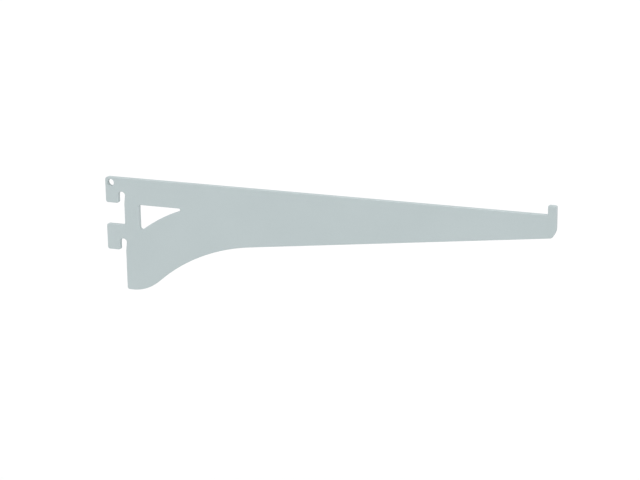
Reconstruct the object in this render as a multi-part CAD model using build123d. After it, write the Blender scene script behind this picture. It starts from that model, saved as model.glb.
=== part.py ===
# Shelf bracket for a slotted wall upright: one flat blade of blanked sheet steel, in millimetres.
# Two hooks stand behind the blade's rear face and drop through the upright's slots.
# X runs out from the wall to the tip, Y across the sheet, Z up.
# The origin is where the level shelf edge meets the rear face, in the middle of the sheet.
from build123d import *
import os
from math import atan, radians, tan

# Sheet
sheet_thickness = 3.0
edge_rounding = 0.4      # tumbled and coated edges, along the outline and the cut-out

# Blade, seen from the side
reach = 292.0            # rear face to tip
tip_depth = 14.2         # shelf edge to the lower corner of the tip, before it is rounded
underside_slope = 7.0    # degrees, rising towards the tip
rear_height = 76.2       # shelf edge to the bottom of the chin

# Chin and brace: a swell under the wall end that sweeps up into the straight underside
chin_flat = 4.0          # level part of the chin, from the rear face to the start of the swell
chin_corner = 1.5
swell_radius = 28.5
brace_slope = 40.0       # degrees, where the swell turns into the hollow
brace_straight = 4.5     # straight part between the swell and the hollow

# Lip that stops the shelf, and the rounded nose under it
lip_width = 5.4
lip_height = 6.0         # above the shelf edge
lip_back_corner = 0.9
lip_front_corner = 1.2
lip_foot = 1.0
nose_run = 2.65          # the nose is cut back by this along the underside
nose_rise = 4.2          # and by this up the front
nose_lower_radius = 2.0
nose_upper_radius = 9.0

# Hooks, all alike, one above the other at the pitch of the upright's slots
hook_count = 2
hook_pitch = 32.0
hook_reach = 13.4        # rear face to the outer edge of the hook
neck_height = 9.5        # top of the hook to the top of its slot
tail_drop = 7.9          # top of the slot to the bottom of the tail
tail_gap = 4.2           # rear face to the inner edge of the tail
slot_relief = 1.0        # the round end of the slot bites this far into the rear face
slot_flat = 0.2          # flat left between the two radii of the slot's round end
top_corner = 2.2
lower_hook_corner = 1.4
tail_outer_corner = 1.5
tail_inner_corner = 1.3
relief_blend = 2.0
hook_root = 1.9          # fillet between the rear face and the top of a lower hook

# Hole for hanging the blade up, in the outer top corner of the upper hook
hole_diameter = 4.8
hole_inset = 4.0         # outer edge of the hook to the hole's centre
hole_drop = 3.8          # shelf edge to the hole's centre

# Three-cornered cut-out with a bowed lower side
post_width = 10.6        # solid left between the rear face and the cut-out
rail_depth = 17.4        # solid left under the shelf edge
cutout_depth = 18.4      # along the post, to the sharp corner
cutout_length = 35.2     # along the rail, to the sharp corner
cutout_bow = 2.0         # the lower side bows up this far from the straight line between its corners
cutout_top_corner = 0.8
cutout_bottom_corner = 1.6
cutout_tip_corner = 1.0

# Lines that the other forms are placed on
underside_rise = tan(radians(underside_slope))
brace_rise = tan(radians(brace_slope))
hook_height = neck_height + tail_drop
slot_width = tail_gap + slot_relief
slot_lean = atan(slot_relief / tail_drop)    # of the slot's side that runs from the relief to the rear face
slot_end_radius = (slot_width - slot_flat) / (1 + tan(radians(45) + slot_lean / 2))
swell_tangent = swell_radius * tan(radians(brace_slope / 2))


def underside_z(x):
    """Height of the straight underside at a distance from the rear face."""
    return -tip_depth - (reach - x) * underside_rise


def brace_corners():
    """Where the chin's level line, the brace's slope and the underside would meet if they were sharp."""
    low_x = chin_flat + swell_tangent
    high_x = (underside_z(0) + rear_height + low_x * brace_rise) / (brace_rise - underside_rise)
    return Vector(low_x, -rear_height), Vector(high_x, underside_z(high_x))


low_corner, high_corner = brace_corners()
hollow_tangent = (high_corner - low_corner).length - swell_tangent - brace_straight
hollow_radius = hollow_tangent / tan(radians((brace_slope - underside_slope) / 2))


def hook_corners(index):
    """Corners of one hook from its outer top round to the rear face under it, as (x, z, radius)."""
    top = -index * hook_pitch
    slot_top = top - neck_height
    bottom = top - hook_height
    outer_top_radius = lower_hook_corner if index else top_corner
    corners = [
        (-hook_reach, top, outer_top_radius),
        (-hook_reach, bottom, tail_outer_corner),
        (-tail_gap, bottom, tail_inner_corner),
        (-tail_gap, slot_top, slot_end_radius),
        (slot_relief, slot_top, slot_end_radius),
        (0, bottom, relief_blend),
    ]
    if index:
        corners.insert(0, (0, top, hook_root))
    return corners


def blade_corners():
    """Corners of the blade from the chin round the tip to the shelf edge, as (x, z, radius)."""
    nose_x = reach - nose_run
    return [
        (0, -rear_height, chin_corner),
        (low_corner.X, low_corner.Y, swell_radius),
        (high_corner.X, high_corner.Y, hollow_radius),
        (nose_x, underside_z(nose_x), nose_lower_radius),
        (reach, nose_rise - tip_depth, nose_upper_radius),
        (reach, lip_height, lip_front_corner),
        (reach - lip_width, lip_height, lip_back_corner),
        (reach - lip_width, 0, lip_foot),
    ]


def outline_face():
    """The whole blank, hooks and slots included, as one rounded outline."""
    corners = [corner for index in range(hook_count) for corner in hook_corners(index)]
    corners += blade_corners()
    points = [(x, z) for x, z, radius in corners]
    radii = [radius for x, z, radius in corners]
    return make_face(FilletPolyline(*points, radius=radii, close=True))


def cutout_face():
    """The cut-out: a post side, a rail side, and a lower side bowed up into the opening."""
    square = Vector(post_width, -rail_depth)
    foot = square - Vector(0, cutout_depth)
    tip = square + Vector(cutout_length, 0)
    bow = SagittaArc(foot, tip, cutout_bow)
    face = make_face([Line(tip, square), Line(square, foot), bow])
    corner_radii = ((square, cutout_top_corner), (foot, cutout_bottom_corner), (tip, cutout_tip_corner))
    for corner, radius in corner_radii:
        nearest = face.vertices().sort_by_distance(corner)[0]
        face = fillet(nearest, radius)
    return face


def through_sheet(face):
    """A face of the side view, made as thick as the sheet."""
    return extrude(Plane.XZ * face, amount=sheet_thickness / 2, both=True)


def rounded_edges(plate):
    """The plate with the edges of its two broad faces rounded."""
    broad_faces = plate.faces().sort_by(Axis.Y)
    rims = broad_faces[0].edges() + broad_faces[-1].edges()
    return fillet(rims, edge_rounding)


def hanging_hole():
    """The round hole through the upper hook."""
    centre = Pos(hole_inset - hook_reach, 0, -hole_drop)
    drill = Cylinder(hole_diameter / 2, 2 * sheet_thickness)
    return centre * Rot(90, 0, 0) * drill


def shelf_bracket():
    """The finished blade."""
    plate = through_sheet(outline_face() - cutout_face())
    return rounded_edges(plate) - hanging_hole()


os.makedirs("parts", exist_ok=True)
export_step(shelf_bracket(), "parts/shelf_bracket.step")
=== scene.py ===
from math import cos, radians, sin

import bpy
import numpy as np
from mathutils import Matrix, Vector


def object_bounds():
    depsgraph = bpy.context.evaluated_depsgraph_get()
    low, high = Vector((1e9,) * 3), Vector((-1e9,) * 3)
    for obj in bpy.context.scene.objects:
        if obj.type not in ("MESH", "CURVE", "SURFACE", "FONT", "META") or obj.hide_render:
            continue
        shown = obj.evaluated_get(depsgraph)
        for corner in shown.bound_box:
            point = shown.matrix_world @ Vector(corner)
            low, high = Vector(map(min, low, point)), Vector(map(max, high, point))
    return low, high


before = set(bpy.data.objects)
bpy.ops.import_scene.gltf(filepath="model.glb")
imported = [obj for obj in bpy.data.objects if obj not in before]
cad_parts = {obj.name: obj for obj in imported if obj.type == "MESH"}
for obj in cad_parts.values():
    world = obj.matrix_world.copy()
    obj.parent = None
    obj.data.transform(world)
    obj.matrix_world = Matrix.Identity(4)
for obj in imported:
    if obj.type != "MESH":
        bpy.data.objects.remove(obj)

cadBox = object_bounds()
scene = bpy.context.scene
mm = 0.001  # a millimetre in metres


def addNode(tree, kind, inputs=None, **settings):
    # one shader node; each input takes a number, a colour or another node's output
    node = tree.nodes.new(kind)
    for name, value in settings.items():
        setattr(node, name, value)
    for name, value in (inputs or {}).items():
        if isinstance(value, bpy.types.NodeSocket):
            tree.links.new(value, node.inputs[name])
        else:
            node.inputs[name].default_value = value
    return node


def work(tree, operation, first, second=0.0):
    # one Math node and its result; an operation on one value leaves the second unused
    return addNode(tree, "ShaderNodeMath", {0: first, 1: second}, operation=operation).outputs[0]


def spread(tree, value, low, high, newLow, newHigh):
    # value carried smoothly from the range low to high into newLow to newHigh, and held at both ends
    inputs = {"Value": value, "From Min": low, "From Max": high, "To Min": newLow, "To Max": newHigh}
    return addNode(tree, "ShaderNodeMapRange", inputs, interpolation_type="SMOOTHSTEP").outputs["Result"]


def mixColour(tree, factor, first, second):
    # first where factor is 0, second where it is 1
    inputs = {0: factor, 6: first, 7: second}  # the Mix node's own colour sockets
    return addNode(tree, "ShaderNodeMix", inputs, data_type="RGBA").outputs[2]


def noise(tree, place, scale, detail, roughness=0.5):
    # one Noise node and its grey value, which swings about 0.5
    inputs = {"Vector": place, "Scale": scale, "Detail": detail, "Roughness": roughness}
    return addNode(tree, "ShaderNodeTexNoise", inputs).outputs["Fac"]


def newGroup(name, inputs, outputs):
    # an empty node group with named sockets: its tree, its input node and its output node
    tree = bpy.data.node_groups.new(name, "ShaderNodeTree")
    for label, kind in inputs.items():
        tree.interface.new_socket(label, in_out="INPUT", socket_type="NodeSocket" + kind)
    for label, kind in outputs.items():
        tree.interface.new_socket(label, in_out="OUTPUT", socket_type="NodeSocket" + kind)
    return tree, tree.nodes.new("NodeGroupInput"), tree.nodes.new("NodeGroupOutput")


def newMaterial(name):
    # a material with an empty node tree, and that tree
    material = bpy.data.materials.new(name)
    material.use_nodes = True
    material.node_tree.nodes.clear()
    return material, material.node_tree


def seenDirectly(tree):
    # 1 for rays from the camera, off a gloss or through glass, 0 for light thrown about the room
    path = addNode(tree, "ShaderNodeLightPath")
    rays = work(tree, "ADD", path.outputs["Is Camera Ray"], path.outputs["Is Glossy Ray"])
    return work(tree, "MINIMUM", work(tree, "ADD", rays, path.outputs["Is Transmission Ray"]), 1.0)


# Coat on the steel: light cool grey powder, stoved to a fine even peel
coatLook = {
    "node": "shelf_bracket",
    "colour": (0.495, 0.568, 0.576, 1.0),
    "paleColour": (0.519, 0.592, 0.600, 1.0),
    "edgeColour": (0.480, 0.550, 0.558, 1.0),
    "cloudSize": 45 * mm,  # slow change of shade along the blade
    "cloudRange": (0.3, 0.7),  # noise levels at which it is wholly one grey or the other
    "fleckRange": (0.35, 0.65),  # the same for single flecks of powder
    "fleckSwing": 0.8,  # how far a fleck goes from one grey towards the other
    "peelSize": 1.1 * mm,
    "peelHeight": 0.04 * mm,
    "peelRange": (0.45, 0.9),  # levels of its hollows, which shine more, and of its tops
    "grainSize": 0.22 * mm,
    "grainShare": 0.35,  # of the grain in the peel's bumps
    "roughness": 0.47,
    "roughnessSwing": 0.07,
    "ior": 1.5,
    "edgeRoughness": 0.08,  # added on the blanked edge
    "edgeRange": (0.35, 0.9),  # how squarely a surface faces across the sheet: cut side, broad face
    "markSize": 0.45 * mm,  # shear marks that run across the blanked edge
    "markStretch": 0.12,  # their width over their length
    "markHeight": 0.07 * mm,
    "tearDepth": 0.35 * mm,  # the torn part of the edge starts this far behind the middle
    "shearedShare": 0.4,  # how strong the marks are before that
}


def peelGroup():
    # stoved powder: height is wide soft bumps plus a share of fine grain, fleck is the grain alone
    tree, given, result = newGroup(
        "stoved peel",
        {"Place": "Vector", "Peel Size": "Float", "Grain Size": "Float", "Grain Share": "Float"},
        {"Height": "Float", "Fleck": "Float"},
    )
    place = given.outputs["Place"]
    peelScale = work(tree, "DIVIDE", 1.0, given.outputs["Peel Size"])
    grainScale = work(tree, "DIVIDE", 1.0, given.outputs["Grain Size"])
    peel = noise(tree, place, peelScale, detail=1.0, roughness=0.4)
    grain = noise(tree, place, grainScale, detail=2.0)
    height = work(tree, "ADD", peel, work(tree, "MULTIPLY", grain, given.outputs["Grain Share"]))
    tree.links.new(height, result.inputs["Height"])
    tree.links.new(grain, result.inputs["Fleck"])
    return tree


def edgeGroup():
    # blanked edge: the mask is where the surface turns from the broad face to the cut side,
    # and the marks are noise drawn out across the sheet, stronger where the metal tore
    tree, given, result = newGroup(
        "blanked edge",
        {
            "Place": "Vector",
            "Facing": "Vector",
            "Cut Side": "Float",
            "Broad Face": "Float",
            "Mark Size": "Float",
            "Stretch": "Float",
            "Tear Start": "Float",
            "Sheared Share": "Float",
        },
        {"Edge": "Float", "Marks": "Float"},
    )
    ask = given.outputs
    facing = addNode(tree, "ShaderNodeSeparateXYZ", {"Vector": ask["Facing"]}).outputs
    place = addNode(tree, "ShaderNodeSeparateXYZ", {"Vector": ask["Place"]}).outputs
    edge = spread(tree, work(tree, "ABSOLUTE", facing["Y"]), ask["Cut Side"], ask["Broad Face"], 1.0, 0.0)

    across = work(tree, "MULTIPLY", place["Y"], ask["Stretch"])
    drawn = addNode(tree, "ShaderNodeCombineXYZ", {"X": place["X"], "Y": across, "Z": place["Z"]})
    markScale = work(tree, "DIVIDE", 1.0, ask["Mark Size"])
    marks = noise(tree, drawn.outputs["Vector"], markScale, detail=3.0)
    behind = work(tree, "DIVIDE", place["Y"], ask["Tear Start"])
    torn = spread(tree, behind, 0.5, 1.5, ask["Sheared Share"], 1.0)  # changes over at the tear's start
    marks = work(tree, "MULTIPLY", work(tree, "MULTIPLY", marks, torn), edge)
    tree.links.new(edge, result.inputs["Edge"])
    tree.links.new(marks, result.inputs["Marks"])
    return tree


def coatMaterial(look):
    # powder coat: colour drifts slowly between two greys, is a touch deeper on the cut edge,
    # and peel, grain and shear marks come in as bumps
    material, tree = newMaterial("powder coat")
    where = addNode(tree, "ShaderNodeTexCoord").outputs
    cutSide, broadFace = look["edgeRange"]
    peel = addNode(tree, "ShaderNodeGroup", {
        "Place": where["Object"],
        "Peel Size": look["peelSize"],
        "Grain Size": look["grainSize"],
        "Grain Share": look["grainShare"],
    }, node_tree=peelGroup()).outputs
    cut = addNode(tree, "ShaderNodeGroup", {
        "Place": where["Object"],
        "Facing": where["Normal"],
        "Cut Side": cutSide,
        "Broad Face": broadFace,
        "Mark Size": look["markSize"],
        "Stretch": look["markStretch"],
        "Tear Start": look["tearDepth"],
        "Sheared Share": look["shearedShare"],
    }, node_tree=edgeGroup()).outputs

    cloud = noise(tree, where["Object"], 1 / look["cloudSize"], detail=3.0)
    shade = spread(tree, cloud, *look["cloudRange"], 0.0, 1.0)
    fleck = spread(tree, peel["Fleck"], *look["fleckRange"], -look["fleckSwing"], look["fleckSwing"])
    colour = mixColour(tree, work(tree, "ADD", shade, fleck), look["colour"], look["paleColour"])
    colour = mixColour(tree, cut["Edge"], colour, look["edgeColour"])

    middle, swing = look["roughness"], look["roughnessSwing"]
    gloss = spread(tree, peel["Height"], *look["peelRange"], middle - swing, middle + swing)
    onEdge = work(tree, "MULTIPLY", cut["Edge"], look["edgeRoughness"])
    peelBump = addNode(tree, "ShaderNodeBump", {"Height": peel["Height"], "Distance": look["peelHeight"]})
    markBump = addNode(tree, "ShaderNodeBump", {
        "Height": cut["Marks"],
        "Distance": look["markHeight"],
        "Normal": peelBump.outputs["Normal"],
    })
    surface = addNode(tree, "ShaderNodeBsdfPrincipled", {
        "Base Color": colour,
        "Roughness": work(tree, "ADD", gloss, onEdge),
        "Normal": markBump.outputs["Normal"],
        "IOR": look["ior"],
    })
    addNode(tree, "ShaderNodeOutputMaterial", {"Surface": surface.outputs["BSDF"]})
    return material


def coatBracket(look):
    # the same coat in every material slot of the solid, whose mesh stays as it is
    coat = coatMaterial(look)
    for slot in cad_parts[look["node"]].material_slots:
        slot.material = coat


# Pale floor, well below the bracket, which hangs free as it would on its upright
floorLook = {
    "drop": 0.22,  # under the chin
    "halfWidth": 6.0,
    "cells": 12,
    "seenColour": (0.92, 0.92, 0.92, 1.0),
    "bounceColour": (0.75, 0.75, 0.75, 1.0),  # what it throws back at the bracket
    "lift": 0.04,  # just enough to keep the open floor white, with the shadow left in it
    "roughness": 0.9,
}


def floorMaterial(look):
    # white to the eye with the shadow kept, a little greyer for the light it throws back, clear from below
    material, tree = newMaterial("studio floor")
    seen = seenDirectly(tree)
    matt = addNode(tree, "ShaderNodeBsdfPrincipled", {
        "Base Color": mixColour(tree, seen, look["bounceColour"], look["seenColour"]),
        "Roughness": look["roughness"],
        "Emission Color": look["seenColour"],
        "Emission Strength": work(tree, "MULTIPLY", seen, look["lift"]),
    })
    clear = addNode(tree, "ShaderNodeBsdfTransparent")
    below = addNode(tree, "ShaderNodeNewGeometry").outputs["Backfacing"]
    mix = addNode(tree, "ShaderNodeMixShader", {0: below, 1: matt.outputs["BSDF"], 2: clear.outputs["BSDF"]})
    addNode(tree, "ShaderNodeOutputMaterial", {"Surface": mix.outputs["Shader"]})
    return material


def gridSurface(name, across, along, place):
    # a sheet of four-sided faces: place turns the two parameters of all grid points into their x, y and z
    u, v = np.meshgrid(across, along, indexing="ij")
    points = np.stack(place(u, v), axis=-1).reshape(-1, 3)
    index = np.arange(u.size).reshape(u.shape)
    corners = (index[:-1, :-1], index[1:, :-1], index[1:, 1:], index[:-1, 1:])
    faces = np.stack(corners, axis=-1).reshape(-1, 4)
    mesh = bpy.data.meshes.new(name)
    mesh.from_pydata(points.tolist(), [], faces.tolist())
    mesh.update()
    sheet = bpy.data.objects.new(name, mesh)
    scene.collection.objects.link(sheet)
    return sheet


def makeFloor(look):
    # level square sheet under the bracket's middle: x and y run evenly, z stays the same
    low, high = cadBox
    middle = (low + high) / 2
    level = low.z - look["drop"]
    run = np.linspace(-look["halfWidth"], look["halfWidth"], look["cells"] + 1)

    def onFloor(u, v):
        # both parameters are metres from the middle
        return middle.x + u, middle.y + v, np.full_like(u, level)

    floor = gridSurface("studioFloor", run, run, onFloor)
    floor.data.materials.append(floorMaterial(look))


# Camera, on the tip's side of the blade and looking down on it
cameraLook = {
    "aim": (0.13764, 0.0, -0.02988),  # the point in the middle of the picture
    "distance": 1.2723,
    "turn": 21.55,  # degrees round from straight in front
    "drop": 16.04,  # degrees of looking down
    "roll": -0.743,
    "lens": 112.5,  # mm
    "sensorWidth": 36.0,  # mm
}


def makeCamera(look):
    # turn and drop give the way it looks, the level line across that gives right and up,
    # and both are then turned by the roll; it stands back from the aim by the distance
    turn, drop, roll = (radians(look[name]) for name in ("turn", "drop", "roll"))
    forward = Vector((-sin(turn) * cos(drop), cos(turn) * cos(drop), -sin(drop)))
    level = Vector((cos(turn), sin(turn), 0))
    upright = level.cross(forward)
    right = level * cos(roll) + upright * sin(roll)
    up = upright * cos(roll) - level * sin(roll)
    stand = Vector(look["aim"]) - forward * look["distance"]
    data = bpy.data.cameras.new("camera")
    data.sensor_width = look["sensorWidth"]
    data.lens = look["lens"]
    camera = bpy.data.objects.new("camera", data)
    camera.matrix_world = Matrix.Translation(stand) @ Matrix((right, up, -forward)).transposed().to_4x4()
    scene.collection.objects.link(camera)
    scene.camera = camera


# Soft studio light: a wide lamp overhead, a second one beyond the tip, and an even room round them
lightLook = {
    "lampWidth": 55.0,  # degrees, so that shadows are soft
    "lamps": {  # where each stands from the bracket, and its strength
        "overhead": ((-0.10, -0.30, 0.95), 1.43),
        "tipSide": ((0.80, -0.55, 0.25), 0.95),
    },
    "roomColour": (1.0, 1.0, 1.0, 1.0),
    "roomLevel": 0.556,
    "whiteLevel": 1.0,  # what the camera and reflections see of the room
}


def makeLights(look):
    # wide suns, each turned so that its own Z axis points back to where it stands, and a plain world
    for name, (stand, strength) in look["lamps"].items():
        data = bpy.data.lights.new(name, "SUN")
        data.energy = strength
        data.angle = radians(look["lampWidth"])
        lamp = bpy.data.objects.new(name, data)
        lamp.rotation_euler = Vector(stand).to_track_quat("Z", "Y").to_euler()
        scene.collection.objects.link(lamp)

    world = bpy.data.worlds.new("room")
    world.use_nodes = True
    tree = world.node_tree
    tree.nodes.clear()
    level = spread(tree, seenDirectly(tree), 0.0, 1.0, look["roomLevel"], look["whiteLevel"])
    room = addNode(tree, "ShaderNodeBackground", {"Color": look["roomColour"], "Strength": level})
    addNode(tree, "ShaderNodeOutputWorld", {"Surface": room.outputs["Background"]})
    scene.world = world


coatBracket(coatLook)
print("bracket coated")
makeFloor(floorLook)
print("floor laid")
makeCamera(cameraLook)
print("camera placed")
makeLights(lightLook)
print("lights and room made")

scene.view_settings.view_transform = "Standard"
